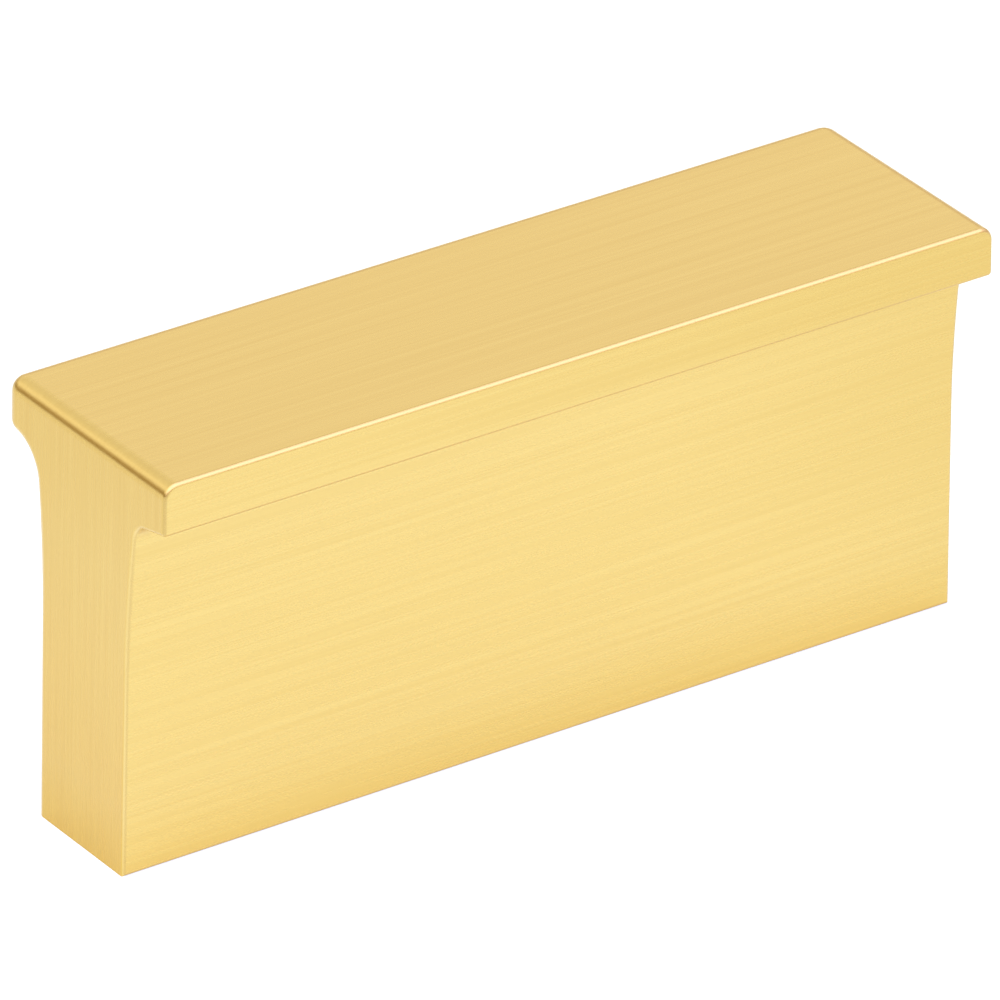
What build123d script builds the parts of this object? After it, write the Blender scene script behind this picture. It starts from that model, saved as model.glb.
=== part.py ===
from build123d import *
import os
from math import radians, tan

# T-bar cabinet pull: one solid casting whose T section runs along X, brushed and plated.
# The mounting face lies on Z = 0 with the origin at its middle, and the front faces -Y.

# Overall sizes
length = 55.3                # along the mounting face
cap_depth = 15.5             # across the cap, from lip to lip
height = 25.4                # projection from the door
end_draft = 0.85             # casting draft in degrees: each end leans in towards the cap

# Section of the T
lip_edge = 3.05              # upright face along each lip
lip_slope = 12.0             # degrees by which the underside of a lip drops towards the stem
front_cove_radius = 1.2      # hollow where the front lip runs into the stem
back_cove_radius = 2.3       # the same at the back, left fuller
neck_width = 10.0            # stem where its flare would meet the lips
waist_width = 8.65           # stem where the flare begins
waist_height = 12.3
foot_width = 8.55            # stem at the mounting face

# Softened edges
back_corner_radius = 1.0     # upright corners of the back lip
back_edge_radius = 0.65      # under the back lip and down the back of the stem
top_edge_radius = 0.9        # round the cap's top, along its back and over both ends
crisp_radius = 0.25          # every edge of the front, ground crisp by the brushing

# Tapped blind holes for the fixing screws
hole_spacing = 32.0
thread_radius = 2.0
hole_depth = 12.0
mouth_chamfer = 0.3

# Levels on the section where a lip's face ends and where the flare would meet its underside
lip_level = height - lip_edge
neck_level = lip_level - (cap_depth - neck_width) / 2 * tan(radians(lip_slope))

os.makedirs("parts", exist_ok=True)

with BuildPart() as pull:
    # Half of the section from the foot up to the cap, mirrored to the other side, then each hollow
    with BuildSketch(Plane.YZ) as section:
        with BuildLine():
            foot = Line((0, 0), (foot_width / 2, 0))
            flank = Line(foot @ 1, (waist_width / 2, waist_height))
            flare = TangentArc(flank @ 1, (neck_width / 2, neck_level), tangent=flank % 1)
            underside = Line(flare @ 1, (cap_depth / 2, lip_level))
            lip = Line(underside @ 1, (cap_depth / 2, height))
            Line(lip @ 1, (0, height))
            mirror(about=Plane.YZ)
        make_face()
        front_neck = section.vertices().filter_by_position(Axis.X, -cap_depth, 0).sort_by(Axis.Y)[2]
        fillet(front_neck, radius=front_cove_radius)
        back_neck = section.vertices().filter_by_position(Axis.X, 0, cap_depth).sort_by(Axis.Y)[2]
        fillet(back_neck, radius=back_cove_radius)
    extrude(amount=length / 2, both=True)

    # Drafted ends, as the side view shows them
    with BuildSketch(Plane.XZ):
        Trapezoid(length, height, 90 - end_draft, align=(Align.CENTER, Align.MIN))
    extrude(amount=cap_depth, both=True, mode=Mode.INTERSECT)

    # Soft corners on the back lip, then one round that runs under that lip and down the stem's back edges,
    # and one that runs along the cap's back top edge and over both ends
    back_lip = pull.faces().sort_by(Axis.Y)[-1]
    fillet(back_lip.edges().filter_by(Axis.X, reverse=True), radius=back_corner_radius)
    back_lip = pull.faces().sort_by(Axis.Y)[-1]
    fillet(back_lip.edges().filter_by(Axis.X).sort_by(Axis.Z)[0], radius=back_edge_radius)
    back_lip = pull.faces().sort_by(Axis.Y)[-1]
    fillet(back_lip.edges().filter_by(Axis.X).sort_by(Axis.Z)[-1], radius=top_edge_radius)

    # Crisp rounds along the front lip, down the front of both ends and along the front of the foot. The rest
    # of the mounting face keeps the sharp outline left by facing it flat
    lip_long = pull.faces().sort_by(Axis.Y)[0].edges().filter_by(Axis.X)
    foot_front = pull.faces().sort_by(Axis.Z)[0].edges().filter_by(Axis.X).sort_by(Axis.Y)[:1]
    ends = pull.faces().sort_by(Axis.X)
    end_sides = ends[0].edges().sort_by(Axis.Z)[1:-1] + ends[-1].edges().sort_by(Axis.Z)[1:-1]
    end_fronts = end_sides.filter_by_position(Axis.Y, -cap_depth, 0)
    fillet(lip_long + foot_front + end_fronts, radius=crisp_radius)

    # Two holes up from the mounting face, cut to the thread's outer diameter
    with Locations(-Plane.XY):
        with GridLocations(hole_spacing, 0, 2, 1):
            CounterSinkHole(thread_radius, thread_radius + mouth_chamfer, hole_depth, 90)

pull.part.label = "pull"
export_step(pull.part, "parts/pull.step")
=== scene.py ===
from math import atan2, pi, radians

import bmesh
import bpy
from mathutils import Matrix, Vector


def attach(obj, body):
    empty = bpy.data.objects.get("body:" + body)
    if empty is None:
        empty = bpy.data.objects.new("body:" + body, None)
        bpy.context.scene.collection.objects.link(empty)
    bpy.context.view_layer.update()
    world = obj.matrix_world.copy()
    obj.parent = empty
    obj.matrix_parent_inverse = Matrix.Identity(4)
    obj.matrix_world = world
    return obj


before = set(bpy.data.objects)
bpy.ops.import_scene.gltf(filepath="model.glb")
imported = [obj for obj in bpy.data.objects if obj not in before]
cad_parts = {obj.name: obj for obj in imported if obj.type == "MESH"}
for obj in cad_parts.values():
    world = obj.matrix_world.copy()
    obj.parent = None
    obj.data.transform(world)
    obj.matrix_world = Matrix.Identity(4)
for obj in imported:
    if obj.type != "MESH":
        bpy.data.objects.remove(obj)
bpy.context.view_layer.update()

# Pull: one zinc die casting of T section, drawn over a fine abrasive belt, lengthwise on the cap, the lips
# and the stem and upright on the two ends, then plated pale gold. The solid already has its true shape,
# so it only gets the finish, and the finish's colour also carries painted highlights and painted shade.
MM = 0.001
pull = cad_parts["pull"]


def linear(hex_colour):
    """The linear colour of an sRGB hex value."""
    channels = [int(hex_colour[start:start + 2], 16) / 255 for start in (1, 3, 5)]
    return [c / 12.92 if c <= 0.04045 else ((c + 0.055) / 1.055) ** 2.4 for c in channels] + [1.0]


def add(tree, kind, inputs, **settings):
    """Adds a node with its settings, and gives each named input a value or a link."""
    node = tree.nodes.new(kind)
    for name, value in settings.items():
        setattr(node, name, value)
    for name, value in inputs.items():
        if isinstance(value, bpy.types.NodeSocket):
            tree.links.new(value, node.inputs[name])
        else:
            node.inputs[name].default_value = value
    return node


# Brushed pale gold plate: metallic and satin. Hairlines along the belt's way catch the light in turn, so the
# colour runs in faint lighter and darker streaks. The belt's own lines are finer than a pixel of the
# picture, so they are drawn at about two pixels.
brushed_gold = bpy.data.materials.new("brushed_pale_gold_plate")
brushed_gold.use_nodes = True
tree = brushed_gold.node_tree
gold = tree.nodes["Principled BSDF"]
gold.inputs["Metallic"].default_value = 1.0
gold.inputs["Anisotropic"].default_value = 0.5
gold.inputs["Anisotropic Rotation"].default_value = 0.25
gold.inputs["Coat Weight"].default_value = 0.3
gold.inputs["Coat Roughness"].default_value = 0.12

# Where a point lies and which way it faces; past 45 degrees it belongs to an end and its upright brushing
end_slant = 0.707
place = add(tree, "ShaderNodeTexCoord", {})
spot = add(tree, "ShaderNodeSeparateXYZ", {"Vector": place.outputs["Object"]})
facing = add(tree, "ShaderNodeSeparateXYZ", {"Vector": place.outputs["Normal"]})
end_facing = add(tree, "ShaderNodeMath", {0: facing.outputs["X"]}, operation="ABSOLUTE")
on_end = add(tree, "ShaderNodeMath", {0: end_facing.outputs[0], 1: end_slant}, operation="GREATER_THAN")

# Streaks: fine hairlines with broader bands four times as wide, in the colour, the roughness and the relief
streak_length = 24.0 * MM
streak_width = 0.12 * MM
band_scale = 0.25
band_share = 0.4
noise_low = 0.3
noise_high = 0.7
gold_light = linear("#DBBE72")
gold_deep = linear("#D6B76A")
rough_light = 0.26
rough_deep = 0.29
streak_height = 0.0004 * MM
along = 1 / streak_length
fine = 1 / streak_width
lengthwise = add(tree, "ShaderNodeMapping",
                 {"Vector": place.outputs["Object"], "Scale": (along, fine, fine)})
upright = add(tree, "ShaderNodeMapping",
              {"Vector": place.outputs["Object"], "Scale": (fine, fine, along)})
grain = add(tree, "ShaderNodeMix", {0: on_end.outputs[0], 4: lengthwise.outputs[0], 5: upright.outputs[0]},
            data_type="VECTOR")
hairlines = add(tree, "ShaderNodeTexNoise", {"Vector": grain.outputs[1], "Scale": 1.0, "Detail": 1.0})
bands = add(tree, "ShaderNodeTexNoise", {"Vector": grain.outputs[1], "Scale": band_scale, "Detail": 1.0})
streaks = add(tree, "ShaderNodeMix", {0: band_share, 2: hairlines.outputs["Fac"], 3: bands.outputs["Fac"]})
shade = add(tree, "ShaderNodeMapRange",
            {"Value": streaks.outputs[0], "From Min": noise_low, "From Max": noise_high})
tint = add(tree, "ShaderNodeMix", {0: shade.outputs[0], 6: gold_deep, 7: gold_light}, data_type="RGBA")
satin = add(tree, "ShaderNodeMix", {0: shade.outputs[0], 2: rough_deep, 3: rough_light})
relief = add(tree, "ShaderNodeBump",
             {"Height": streaks.outputs[0], "Strength": 1.0, "Distance": streak_height})
belt_way = add(tree, "ShaderNodeMix", {0: on_end.outputs[0], 4: (1, 0, 0), 5: (0, 0, 1)},
               data_type="VECTOR")
tree.links.new(relief.outputs[0], gold.inputs["Normal"])
tree.links.new(belt_way.outputs[1], gold.inputs["Tangent"])

# Ends: brushed upright, with a painted shade that makes their gold a little deeper in tone, and a painted
# warm reflection that makes it warmer towards the foot
end_begin = 0.8
end_full = 0.99
low_end_top = 18.0 * MM
low_end_full = 6.0 * MM
end_painted_shade = linear("#FBF6E9")
low_end_painted_reflection = linear("#F8ECC9")
end_share = add(tree, "ShaderNodeMapRange",
                {"Value": end_facing.outputs[0], "From Min": end_begin, "From Max": end_full})
lowness = add(tree, "ShaderNodeMapRange",
              {"Value": spot.outputs["Z"], "From Min": low_end_top, "From Max": low_end_full})
end_painted_tint = add(tree, "ShaderNodeMix", {0: lowness.outputs[0], 6: end_painted_shade, 7: low_end_painted_reflection},
               data_type="RGBA")
with_end_painted_shade = add(tree, "ShaderNodeMix", {0: end_share.outputs[0], 6: tint.outputs[2], 7: end_painted_tint.outputs[2]},
            data_type="RGBA", blend_type="MULTIPLY")

# Upright corners: a painted shade line down the cap's, and a painted highlight line beside a painted shade
# line down the stem's
corner_begin = 0.2
corner_full = 0.4
pale_until = -0.6
dark_from = -0.8
lip_level = 22.3 * MM
cap_corner_painted_shade = linear("#CBAD68")
stem_corner_painted_highlight = linear("#DABD76")
stem_corner_painted_shade = linear("#CEB06A")
turning = add(tree, "ShaderNodeMath", {0: facing.outputs["X"], 1: facing.outputs["Y"]}, operation="MULTIPLY")
corner = add(tree, "ShaderNodeMath", {0: turning.outputs[0]}, operation="ABSOLUTE")
on_corner = add(tree, "ShaderNodeMapRange",
                {"Value": corner.outputs[0], "From Min": corner_begin, "From Max": corner_full})
front_half = add(tree, "ShaderNodeMapRange",
                 {"Value": facing.outputs["Y"], "From Min": pale_until, "From Max": dark_from})
stem_corner_painted_light = add(tree, "ShaderNodeMix",
                  {0: front_half.outputs[0], 6: stem_corner_painted_highlight, 7: stem_corner_painted_shade}, data_type="RGBA")
on_cap = add(tree, "ShaderNodeMath", {0: spot.outputs["Z"], 1: lip_level}, operation="GREATER_THAN")
corner_painted_light = add(tree, "ShaderNodeMix", {0: on_cap.outputs[0], 6: stem_corner_painted_light.outputs[2], 7: cap_corner_painted_shade},
                  data_type="RGBA")
plate = add(tree, "ShaderNodeMix", {0: on_corner.outputs[0], 6: with_end_painted_shade.outputs[2], 7: corner_painted_light.outputs[2]},
            data_type="RGBA")

# Long front edges: a painted highlight makes the cap's upper one pale, and painted shade makes the lip's and
# the foot's lower ones deeper
highlight_begin = -0.15
highlight_full = -0.45
shade_begin = 0.1
shade_full = 0.4
foot_edge = 0.3 * MM
gold_painted_highlight = linear("#D6B68A")
gold_shaded = linear("#C9A352")
front_rise = add(tree, "ShaderNodeMath", {0: facing.outputs["Y"], 1: facing.outputs["Z"]},
                 operation="MULTIPLY")
rising = add(tree, "ShaderNodeMath", {0: facing.outputs["Z"], 1: 0.0}, operation="GREATER_THAN")
painted_highlight_share = add(tree, "ShaderNodeMapRange", {"Value": front_rise.outputs[0], "From Min": highlight_begin,
                                             "From Max": highlight_full, "To Max": rising.outputs[0]})
skin = add(tree, "ShaderNodeMix", {0: painted_highlight_share.outputs[0], 6: plate.outputs[2], 7: gold_painted_highlight},
           data_type="RGBA")
on_stem = add(tree, "ShaderNodeMath", {0: spot.outputs["Z"], 1: (lip_level + foot_edge) / 2,
                                       2: (lip_level - foot_edge) / 2}, operation="COMPARE")
open_side = add(tree, "ShaderNodeMath", {0: on_stem.outputs[0], 1: rising.outputs[0]}, operation="MAXIMUM")
low_edge = add(tree, "ShaderNodeMath", {0: 1.0, 1: open_side.outputs[0]}, operation="SUBTRACT")
painted_shade_share = add(tree, "ShaderNodeMapRange", {"Value": front_rise.outputs[0], "From Min": shade_begin,
                                             "From Max": shade_full, "To Max": low_edge.outputs[0]})
shaded = add(tree, "ShaderNodeMix", {0: painted_shade_share.outputs[0], 6: skin.outputs[2], 7: gold_shaded},
             data_type="RGBA")

# Foot: a painted contact shade with a warm painted reflection makes the last few millimetres above the
# mounting face a little deeper
foot_reach = 4.0 * MM
foot_painted_shade = linear("#FDF8E4")
end_foot_painted_shade = linear("#FFFBD0")
foot_share = add(tree, "ShaderNodeMapRange",
                 {"Value": spot.outputs["Z"], "From Max": foot_reach, "To Min": 1.0, "To Max": 0.0})
foot_painted_tint = add(tree, "ShaderNodeMix", {0: end_share.outputs[0], 6: foot_painted_shade, 7: end_foot_painted_shade},
                data_type="RGBA")
footed = add(tree, "ShaderNodeMix", {0: foot_share.outputs[0], 6: shaded.outputs[2], 7: foot_painted_tint.outputs[2]},
             data_type="RGBA", blend_type="MULTIPLY")
tree.links.new(footed.outputs[2], gold.inputs["Base Color"])

# Long rounded edges and the hollows under the lips: rougher, so they gleam more softly than the flats
round_begin = 0.05
round_full = 0.2
edge_roughness = 0.36
rise_squared = add(tree, "ShaderNodeMath", {0: facing.outputs["Z"], 1: facing.outputs["Z"]},
                   operation="MULTIPLY")
level_share = add(tree, "ShaderNodeMath", {0: 1.0, 1: rise_squared.outputs[0]}, operation="SUBTRACT")
rounding = add(tree, "ShaderNodeMath", {0: rise_squared.outputs[0], 1: level_share.outputs[0]},
               operation="MULTIPLY")
on_edge = add(tree, "ShaderNodeMapRange",
              {"Value": rounding.outputs[0], "From Min": round_begin, "From Max": round_full})
sheen = add(tree, "ShaderNodeMix", {0: on_edge.outputs[0], 2: satin.outputs[0], 3: edge_roughness})
tree.links.new(sheen.outputs[0], gold.inputs["Roughness"])
pull.data.materials[0] = brushed_gold

# Screw threads: the coarse 4 mm thread that is tapped up both fixing holes before plating. Each is one ridge
# that winds up the wall of its hole, sunk slightly into it, and runs out into the wall at both ends.
hole_places = (-16.0 * MM, 16.0 * MM)
wall_radius = 2.03 * MM
crest_radius = 1.62 * MM
pitch = 0.7 * MM
root_width = 0.6 * MM
crest_width = 0.18 * MM
thread_start = 0.8 * MM
thread_turns = 15
turn_steps = 32
run_out = 0.5
blunt_end = 0.05
weld = 0.001 * MM
crease = radians(30)

ridge = [(wall_radius, -root_width / 2), (crest_radius, -crest_width / 2),
         (crest_radius, crest_width / 2), (wall_radius, root_width / 2)]
threads_bm = bmesh.new()
for hole_x in hole_places:
    ring = [threads_bm.verts.new((hole_x + radius, 0, thread_start + offset)) for radius, offset in ridge]
    edges = [threads_bm.edges.new(pair) for pair in zip(ring, ring[1:] + ring[:1])]
    bmesh.ops.spin(threads_bm, geom=edges, cent=(hole_x, 0, 0), axis=(0, 0, 1),
                   dvec=(0, 0, pitch / turn_steps), angle=2 * pi * thread_turns,
                   steps=thread_turns * turn_steps, use_merge=False)
open_edges = [edge for edge in threads_bm.edges if edge.is_boundary]
bmesh.ops.holes_fill(threads_bm, edges=open_edges, sides=len(ridge))
# Each end of a ridge sinks into the wall over half a turn, where it keeps a sliver of its height
for vert in threads_bm.verts:
    centre = Vector((min(hole_places, key=lambda x: abs(x - vert.co.x)), 0, vert.co.z))
    arm = vert.co - centre
    swept = atan2(arm.y, arm.x) / (2 * pi)
    turn_count = round((vert.co.z - thread_start) / pitch - swept) + swept
    fade_in = max(blunt_end, min(1.0, turn_count / run_out, (thread_turns - turn_count) / run_out))
    vert.co = centre + arm.normalized() * (wall_radius + (arm.length - wall_radius) * fade_in)
bmesh.ops.remove_doubles(threads_bm, verts=threads_bm.verts[:], dist=weld)
bmesh.ops.recalc_face_normals(threads_bm, faces=threads_bm.faces[:])
for face in threads_bm.faces:
    face.smooth = True
for edge in threads_bm.edges:
    edge.smooth = edge.calc_face_angle(0) < crease
threads_mesh = bpy.data.meshes.new("screw_threads")
threads_bm.to_mesh(threads_mesh)
threads_bm.free()
threads = bpy.data.objects.new("screw_threads", threads_mesh)
bpy.context.scene.collection.objects.link(threads)
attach(threads, "root")

# Plated cut thread: the same gold over metal that the tap has torn a little, so it is duller and mottled.
mottle_size = 0.25 * MM
thread_light = linear("#CFB069")
thread_deep = linear("#A98A4A")
cut_thread = bpy.data.materials.new("plated_cut_thread")
cut_thread.use_nodes = True
tree = cut_thread.node_tree
thread = tree.nodes["Principled BSDF"]
thread.inputs["Metallic"].default_value = 1.0
thread.inputs["Roughness"].default_value = 0.4
thread_place = add(tree, "ShaderNodeTexCoord", {})
mottle = add(tree, "ShaderNodeTexNoise",
             {"Vector": thread_place.outputs["Object"], "Scale": 1 / mottle_size, "Detail": 3.0})
thread_tint = add(tree, "ShaderNodeMix", {0: mottle.outputs["Fac"], 6: thread_deep, 7: thread_light},
                  data_type="RGBA")
tree.links.new(thread_tint.outputs[2], thread.inputs["Base Color"])
threads_mesh.materials.append(cut_thread)

# Floor: a wide sheet of white acrylic that the pull stands on, lit from below so that hardly any shadow
# shows, and wide enough to reach out of every view. The light below it is cool in the middle and fades to a
# dim warm tone outwards.
floor_reach = 3.0
glow_centre = Vector((-10, -15, 0)) * MM
glow_inner = 32 * MM
glow_outer = 71 * MM
glow_near = linear("#B6BDD6")
glow_far = linear("#91866C")
floor_bm = bmesh.new()
bmesh.ops.create_grid(floor_bm, x_segments=1, y_segments=1, size=floor_reach)
floor_mesh = bpy.data.meshes.new("floor")
floor_bm.to_mesh(floor_mesh)
floor_bm.free()
floor = bpy.data.objects.new("floor", floor_mesh)
bpy.context.scene.collection.objects.link(floor)

white_acrylic = bpy.data.materials.new("backlit_white_acrylic")
white_acrylic.use_nodes = True
tree = white_acrylic.node_tree
sheet = tree.nodes["Principled BSDF"]
sheet.inputs["Base Color"].default_value = linear("#CAD2DC")
sheet.inputs["Roughness"].default_value = 0.9
sheet.inputs["Specular IOR Level"].default_value = 0.0
sheet.inputs["Emission Strength"].default_value = 1.0
floor_place = add(tree, "ShaderNodeTexCoord", {})
reach = add(tree, "ShaderNodeVectorMath", {0: floor_place.outputs["Object"], 1: glow_centre},
            operation="DISTANCE")
fade = add(tree, "ShaderNodeMapRange",
           {"Value": reach.outputs["Value"], "From Min": glow_inner, "From Max": glow_outer})
glow = add(tree, "ShaderNodeMix", {0: fade.outputs[0], 6: glow_near, 7: glow_far}, data_type="RGBA")
tree.links.new(glow.outputs[2], sheet.inputs["Emission Color"])
floor_mesh.materials.append(white_acrylic)


# Studio light: a white tent that is open along the walls, with a large soft box over the front and a small
# one at the back left. The cap's front edge catches the first and its left edge the second, its top reflects
# the tent, its end edges reflect the warm walls, and the sides reflect the floor.
def soft_box(name, way, distance, width, depth, radiance):
    """An area light that faces the pull from the given way."""
    light = bpy.data.lights.new(name, "AREA")
    light.shape = "RECTANGLE"
    light.size = width
    light.size_y = depth
    light.energy = radiance * pi * width * depth
    lamp = bpy.data.objects.new(name, light)
    facing_pull = way.to_track_quat("Z", "Y").to_matrix().to_4x4()
    lamp.matrix_world = Matrix.Translation(way.normalized() * distance) @ facing_pull
    bpy.context.scene.collection.objects.link(lamp)


soft_box("front_soft_box", way=Vector((-0.1, -0.5, 0.8)), distance=1.0, width=2.6, depth=1.7, radiance=1.2)
soft_box("back_soft_box", way=Vector((-0.47, 0.717, 0.5)), distance=1.0, width=0.5, depth=0.25, radiance=0.4)

# Heights and sides in the room are parts of a unit direction, from the floor's level at 0 to overhead at 1
wall_top = 0.24
tent_edge = 0.42
tent_crown = 0.75
wall_turn = 0.4
left_wall = linear("#94794E")
right_wall = linear("#CEBCA2")
tent_white = linear("#FFFDF7")
tent_dim = linear("#DEDCD6")
tent_level = 1.34
room = bpy.data.worlds.new("studio_room")
bpy.context.scene.world = room
room.use_nodes = True
tree = room.node_tree
sky = add(tree, "ShaderNodeTexCoord", {})
look = add(tree, "ShaderNodeSeparateXYZ", {"Vector": sky.outputs["Generated"]})
side = add(tree, "ShaderNodeMapRange",
           {"Value": look.outputs["X"], "From Min": -wall_turn, "From Max": wall_turn})
wall = add(tree, "ShaderNodeMix", {0: side.outputs[0], 6: left_wall, 7: right_wall}, data_type="RGBA")
crown = add(tree, "ShaderNodeMapRange",
            {"Value": look.outputs["Z"], "From Min": tent_edge, "From Max": tent_crown})
cloth = add(tree, "ShaderNodeMix", {0: crown.outputs[0], 6: tent_white, 7: tent_dim}, data_type="RGBA")
hem = add(tree, "ShaderNodeMapRange",
          {"Value": look.outputs["Z"], "From Min": wall_top, "From Max": tent_edge},
          interpolation_type="SMOOTHSTEP")
tent = add(tree, "ShaderNodeMix", {0: hem.outputs[0], 6: wall.outputs[2], 7: cloth.outputs[2]},
           data_type="RGBA")
background = tree.nodes["Background"]
background.inputs["Strength"].default_value = tent_level
tree.links.new(tent.outputs[2], background.inputs["Color"])

# Camera: looks down on the pull's front left corner from three quarters of a metre away through a long lens.
azimuth = radians(-35.102)
elevation = radians(28.515)
roll = radians(0.735)
distance = 770.675 * MM
aim = Vector((-0.137, 0.0, 13.001)) * MM
sensor = 36.0
photo_width = 1000
focal_pixels = 14095.5
view_reach = 20.0

camera_data = bpy.data.cameras.new("camera")
camera_data.sensor_width = sensor
camera_data.lens = focal_pixels * sensor / photo_width
camera_data.clip_end = view_reach
camera = bpy.data.objects.new("camera", camera_data)
turn = (Matrix.Rotation(azimuth, 4, "Z") @ Matrix.Rotation(pi / 2 - elevation, 4, "X")
        @ Matrix.Rotation(roll, 4, "Z"))
camera.matrix_world = Matrix.Translation(aim) @ turn @ Matrix.Translation((0, 0, distance))
bpy.context.scene.collection.objects.link(camera)
bpy.context.scene.camera = camera
bpy.context.scene.view_settings.view_transform = "Standard"
